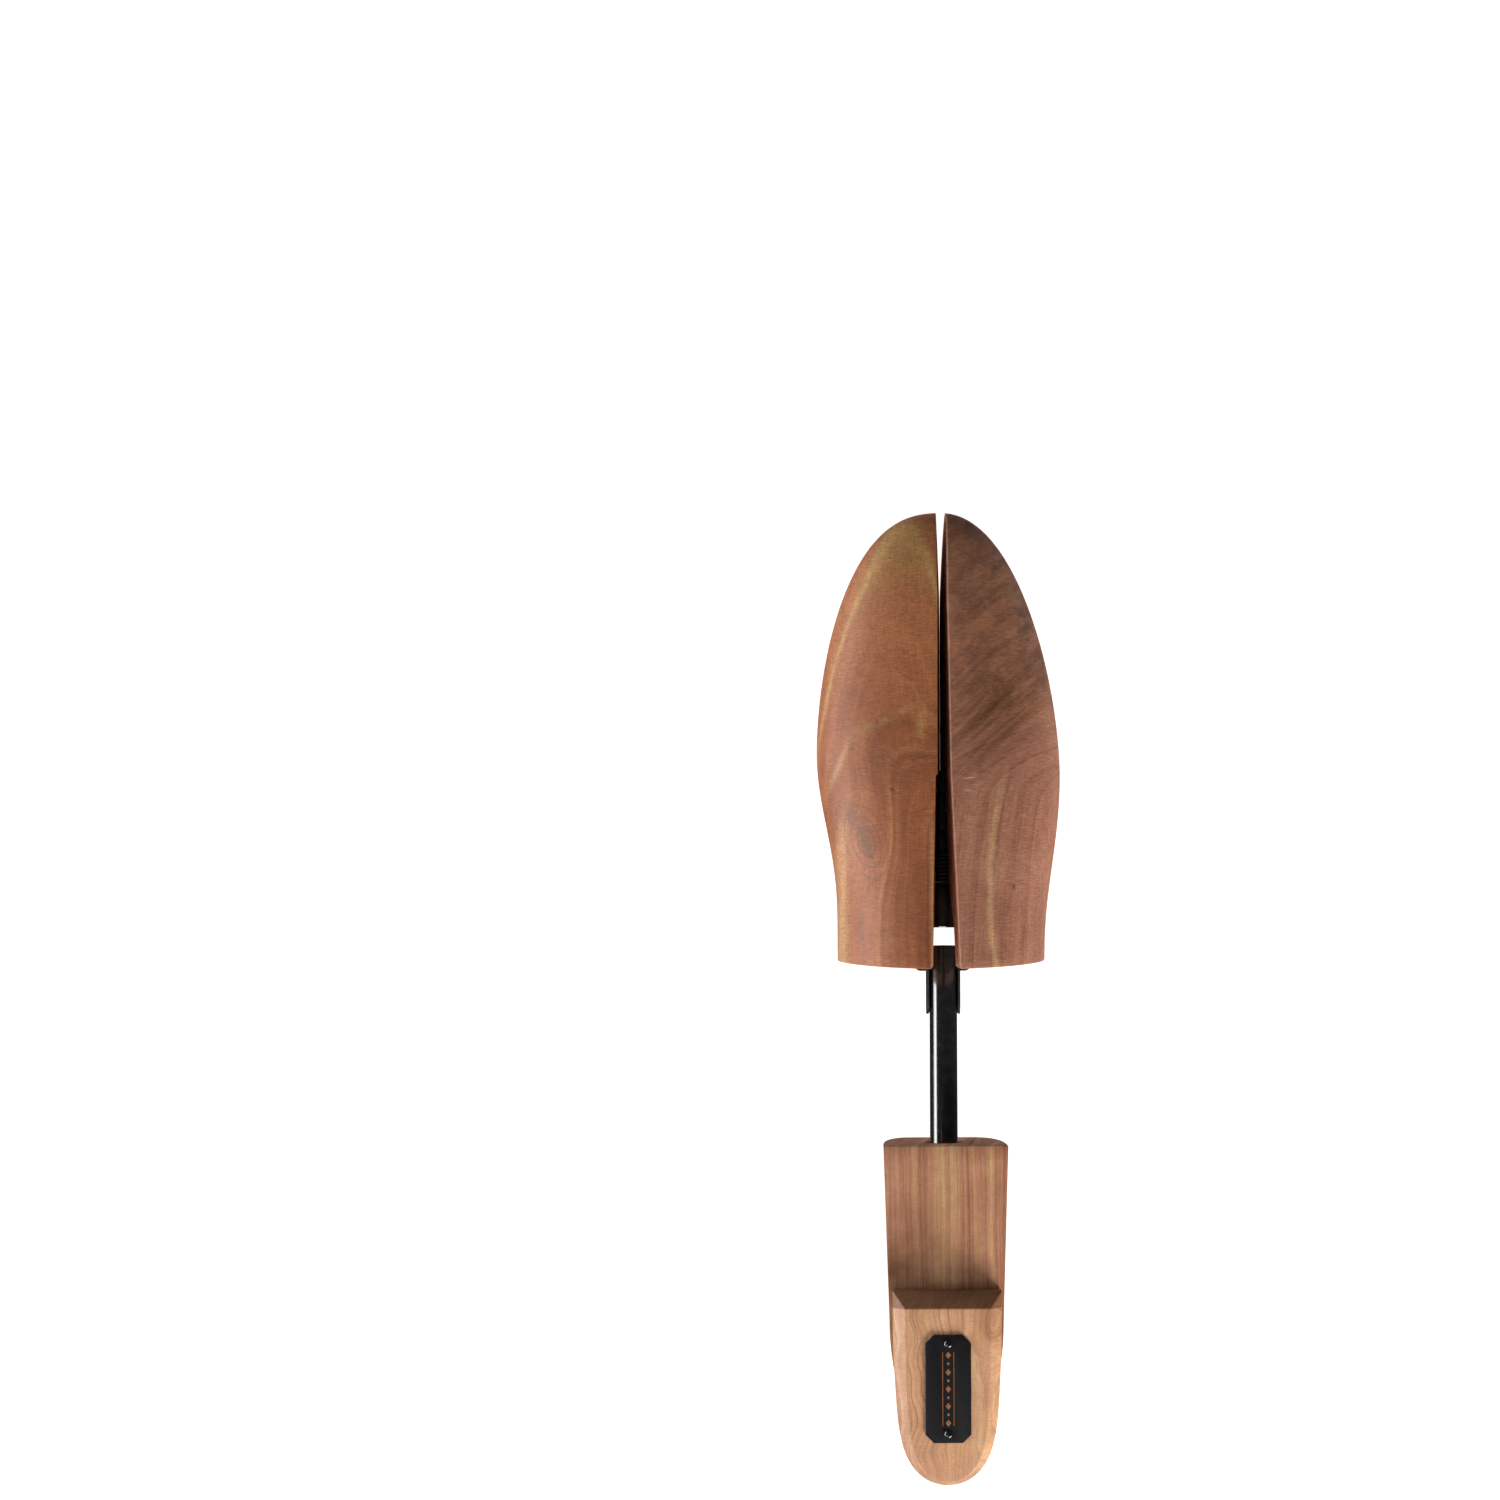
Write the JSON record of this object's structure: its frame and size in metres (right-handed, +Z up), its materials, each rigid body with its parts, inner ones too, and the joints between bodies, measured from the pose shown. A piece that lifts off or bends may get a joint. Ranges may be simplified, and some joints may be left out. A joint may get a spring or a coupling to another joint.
{
  "type": "shoe tree",
  "caption": "Cedar shoe tree for a right shoe, with a split sprung toe, a black steel tube, a sprung sliding heel and a grip with a blank black plate.",
  "frame": {"origin": "under the middle of the whole shoe tree, on the surface that it lies on", "axes": "+Y towards the toe's tip, +Z up, +X towards the outer side of the right foot"},
  "size_m": [0.0842, 0.3322, 0.0519],
  "materials": {
    "cedar_toe": "satin",
    "cedar_block": "satin",
    "cedar_handle": "satin",
    "black_steel": "satin",
    "black_gloss_steel": "gloss",
    "spring_steel": "satin",
    "screw_steel": "satin",
    "black_plate": "matte",
    "black_nail": "gloss"
  },
  "bodies": {
    "bracket": {"tube_bracket": "black_steel", "pivot_rivet": "black_steel", "hinge_pin": "spring_steel", "spread_spring": "spring_steel"},
    "toe_left": {"toe_half_left": "cedar_toe", "hinge_leaf_left": "black_steel", "leaf_screw_left_rear": "screw_steel", "leaf_screw_left_front": "screw_steel"},
    "toe_right": {"toe_half_right": "cedar_toe", "hinge_leaf_right": "black_steel", "leaf_screw_right_rear": "screw_steel", "leaf_screw_right_front": "screw_steel"},
    "tube": {"tube": "black_gloss_steel", "tube_plug": "spring_steel", "main_spring": "spring_steel"},
    "heel": {"heel_block": "cedar_block", "heel_handle": "cedar_handle", "cross_pin": "spring_steel", "spring_follower": "spring_steel", "nameplate": "black_plate", "nameplate_nail_front": "black_nail", "nameplate_nail_rear": "black_nail"}
  },
  "joints": [
    {"name": "toe_left_roll", "type": "hinge", "parent": "bracket", "child": "toe_left", "pos_m": [0.00105, 0.06255, 0.0154], "axis": [0, 1, 0], "range_deg": [0, 3.5], "stiffness_Nm_per_rad": 0.25, "springref_deg": -28.65, "deforming": ["spread_spring"]},
    {"name": "toe_right_roll", "type": "hinge", "parent": "bracket", "child": "toe_right", "pos_m": [0.00105, 0.06255, 0.0154], "axis": [0, -1, 0], "range_deg": [0, 3.5], "stiffness_Nm_per_rad": 0.25, "springref_deg": -28.65, "deforming": ["spread_spring"]},
    {"name": "tube_lift", "type": "hinge", "parent": "bracket", "child": "tube", "pos_m": [0.00105, 0.01305, 0.021], "axis": [-1, 0, 0], "range_deg": [0, 15]},
    {"name": "heel_slide", "type": "slide", "parent": "tube", "child": "heel", "axis": [0, 1, 0], "range_m": [0, 0.028], "stiffness_N_per_m": 600, "springref_m": -0.012, "deforming": ["main_spring"]}
  ]
}
